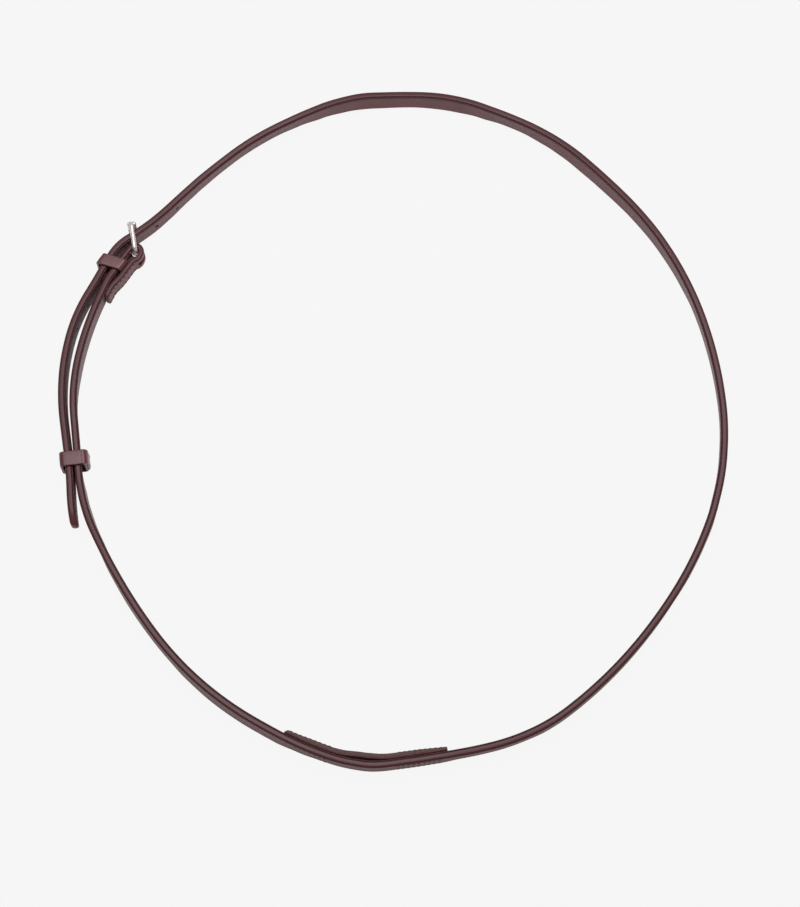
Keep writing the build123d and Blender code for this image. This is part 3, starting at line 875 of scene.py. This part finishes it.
def loop_rings():
    rings = []
    bottom = (WIDTH - LOOP_WIDTH) / 2
    for at in distances(0.0, LOOP_LENGTH, 0.7):
        straight = pose_at(LOOP_LINE, at)
        ragged = 0.22 * wave(at, 3.1, 11) + 0.12 * wave(at, 1.1, 12)
        end = min(at, LOOP_LENGTH - at, 0.5) / 0.5
        shrink = 0.8 + 0.2 * sqrt(max(0.0, 1 - (1 - end) ** 2))
        thickness = loop_thickness(at)
        low = mix(thickness / 2, 0.02, shrink)
        high = mix(thickness / 2, thickness + 0.1 * wave(at, 4.3, 13), shrink)
        outline = section(
            low, high, bottom, WIDTH - bottom + ragged, (0.7, 0.6), (0.6, 0.55), dome=0.1,
        )
        ring = []
        for a, z in outline:
            cut_back = LOOP_CUT_SLANT * a / thickness * (1 - smooth(0, LOOP_CUT_EASE, at))
            pose = pose_at(LOOP_LINE, at + cut_back) if cut_back > 0 else straight
            rough = 0.0
            if z > WIDTH - bottom - 1.2:
                rough = 0.12 * noise.noise(Vector((at * 1.3, a * 2.1, SEED + 3)))
            ring.append(point_in(pose, a, z + rough))
        rings.append(ring)
    return rings


loop = object_of("inner_loop_leather", mesh_of("inner_loop_leather", loop_rings()))
finished(loop, "strap", ["martingale_loop"], LOOP_HIDE, edge_at=(0.5, WIDTH - 0.5, 1.4))


# ---- stitches ----

def stitch(pose, height, up=False, slant=0.0, stand=0.7):
    """One visible stitch at a pose on the leather's surface: a capsule that dives in at both ends."""
    x, y, heading = pose
    rings = []
    steps, sides = 10, 8
    for i in range(steps + 1):
        t = i / steps * 2 - 1
        radius = max(0.04, sqrt(max(0.0, 1 - abs(t) ** 3.2)))
        run = t * STITCH_LENGTH / 2
        drop = -0.3 * abs(t) ** 3
        ring = []
        for j in range(sides):
            turn = 2 * pi * j / sides
            across = radius * THREAD_WIDTH / 2 * cos(turn)
            out = drop + radius * stand / 2 * sin(turn)
            along, rise = across, run
            if not up:
                along = run * cos(slant) - across * sin(slant)
                rise = across * cos(slant) + run * sin(slant)
            px, py, _ = beside((x + along * cos(heading), y + along * sin(heading), heading), out)
            ring.append((px, py, height + rise))
        rings.append(ring)
    return mesh_of("stitch", rings)


def row(line, offset, low, high, height, slant, stand):
    """One row of stitches: an offset, or a way to find it, to the left or right of a line."""
    count = int((high - low) / STITCH_PITCH)
    made = []
    for index in range(count):
        at = low + (index + 0.5) * (high - low) / count
        out = offset(at) if callable(offset) else offset
        pose = pose_at(line, at)
        if out < 0:
            pose = turned_round(pose)
        pose = beside(pose, abs(out) + 0.06)
        lift = 0.1 * wave(index, 1.7, height)
        made.append(stitch(pose, height + lift * 0.4, slant=slant, stand=stand))
    return made


def stitching(name, meshes, body, node_name):
    made = joined(name, meshes)
    return finished(made, body, [node_name], THREAD, sharp=60)


SLANT = radians(9)
flap = backwards(TURNBACK)
flap_rows = []
for height in (STITCH_MARGIN, WIDTH - STITCH_MARGIN):
    flap_start = TURN_LENGTH - FLAP_LENGTH + SLOT_RADIUS
    flap_rows += row(flap, FACE / 2, flap_start, TURN_LENGTH - STITCH_MARGIN, height, SLANT, INNER_STAND)
    flap_rows += row(
        STRAP, OUTER, SLOT_RADIUS, FLAP_LENGTH - STITCH_MARGIN, height, SLANT, FLAP_UNDER_STAND,
    )
stitching("stitches_turnback", flap_rows, "strap", "turnback_stitching")

LEFT_SEAM = (STITCH_MARGIN, LOOP_SEWN - STITCH_MARGIN)
RIGHT_SEAM = (LOOP_LENGTH - LEFT_SEAM[1], LOOP_LENGTH - LEFT_SEAM[0])
for name, node_name, (low, high) in (
    ("stitches_loop_left", "loop_stitching_left", LEFT_SEAM),
    ("stitches_loop_right", "loop_stitching_right", RIGHT_SEAM),
):
    rows = []
    for height in (STITCH_MARGIN, WIDTH - STITCH_MARGIN):
        rows += row(LOOP_LINE, loop_thickness, low, high, height, SLANT, INNER_STAND)
        rows += row(
            STRAP, OUTER, LOOP_START + low, LOOP_START + high, height, SLANT, LOOP_UNDER_STAND,
        )
    stitching(name, rows, "strap", node_name)

lap_face = beside(runner_pose, runner_high + KEEPER_LEATHER + LAP + 0.05)
lap_rows = []
for along in (-RUNNER_STITCH_SPREAD, RUNNER_STITCH_SPREAD):
    for step in (-0.5, 0.5):
        x, y, heading = lap_face
        pose = (x + along * cos(heading), y + along * sin(heading), heading)
        lap_rows.append(stitch(pose, MID + RUNNER_LAP_Z + step * STITCH_PITCH, up=True))
stitching("stitches_runner", lap_rows, "runner", "runner_stitching")


# ---- steel ----

for name in ("buckle_frame", "buckle_tongue"):
    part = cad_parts[name]
    part.data.materials.clear()
    part.data.materials.append(STEEL)


# ---- floor, light and camera ----

FLOOR_SHADE, FLOOR_GLOW = 0.02, 0.908
BOUNCE_SHADE, BOUNCE_GLOW = 0.85, 0.24
WORLD_LIGHT = 0.14
CENTRE_POWER, BROAD_POWER = 6.0, 20.0

low, high = CAD_BOX
FLOOR_SIZE = 6.0


def floor_plane(name, height, colour, glow):
    mesh = bpy.data.meshes.new(name)
    corners = [(-1, -1), (1, -1), (1, 1), (-1, 1)]
    mesh.from_pydata([(x * FLOOR_SIZE, y * FLOOR_SIZE, 0) for x, y in corners], [], [(0, 1, 2, 3)])
    made = object_of(name, mesh)
    made.location.z = height
    paint, _, shader = material(name)
    shader.inputs["Base Color"].default_value = (colour, colour, colour, 1)
    shader.inputs["Roughness"].default_value = 1.0
    shader.inputs["Specular IOR Level"].default_value = 0.0
    shader.inputs["Emission Color"].default_value = (1, 1, 1, 1)
    shader.inputs["Emission Strength"].default_value = glow
    mesh.materials.append(paint)
    return made


# The floor that shows is lit from within, so that it is evenly pale, and lights nothing else.
# A matt one with a little glow, just under it, lights the leather and shows in its reflections.
floor = floor_plane("floor", low[2] - 0.0002, FLOOR_SHADE, FLOOR_GLOW)
floor.visible_diffuse = False
floor.visible_glossy = False
floor.visible_shadow = False
under = floor_plane("floor_under", low[2] - 0.0003, BOUNCE_SHADE, BOUNCE_GLOW)
under.visible_camera = False

world = bpy.data.worlds.new("studio")
bpy.context.scene.world = world
world.use_nodes = True
world.node_tree.nodes["Background"].inputs["Color"].default_value = (1, 1, 1, 1)
world.node_tree.nodes["Background"].inputs["Strength"].default_value = WORLD_LIGHT


def lamp(name, place, aim, size, power):
    data = bpy.data.lights.new(name, "AREA")
    data.shape = "RECTANGLE"
    data.size, data.size_y = size
    data.energy = power
    made = bpy.data.objects.new(name, data)
    bpy.context.scene.collection.objects.link(made)
    made.location = place
    made.rotation_euler = (Vector(aim) - Vector(place)).to_track_quat("-Z", "Y").to_euler()
    return made


lamp("centre", (0.0, 0.15, 1.15), (0, 0.05, 0), (0.7, 0.6), CENTRE_POWER)
lamp("broad", (0.0, 0.9, 2.2), (0, 0.1, 0), (2.4, 2.0), BROAD_POWER)

CAMERA_AT = (0.00537, -0.52163, 1.63215)
CAMERA_TILT = radians(17)
camera_data = bpy.data.cameras.new("camera")
camera_data.lens = 95.8
camera_data.sensor_width = 36.0
camera_data.clip_start = 0.01
camera = bpy.data.objects.new("camera", camera_data)
bpy.context.scene.collection.objects.link(camera)
camera.location = CAMERA_AT
camera.rotation_euler = (CAMERA_TILT, 0, 0)
bpy.context.scene.camera = camera
bpy.context.scene.view_settings.view_transform = "Standard"

bpy.context.view_layer.update()
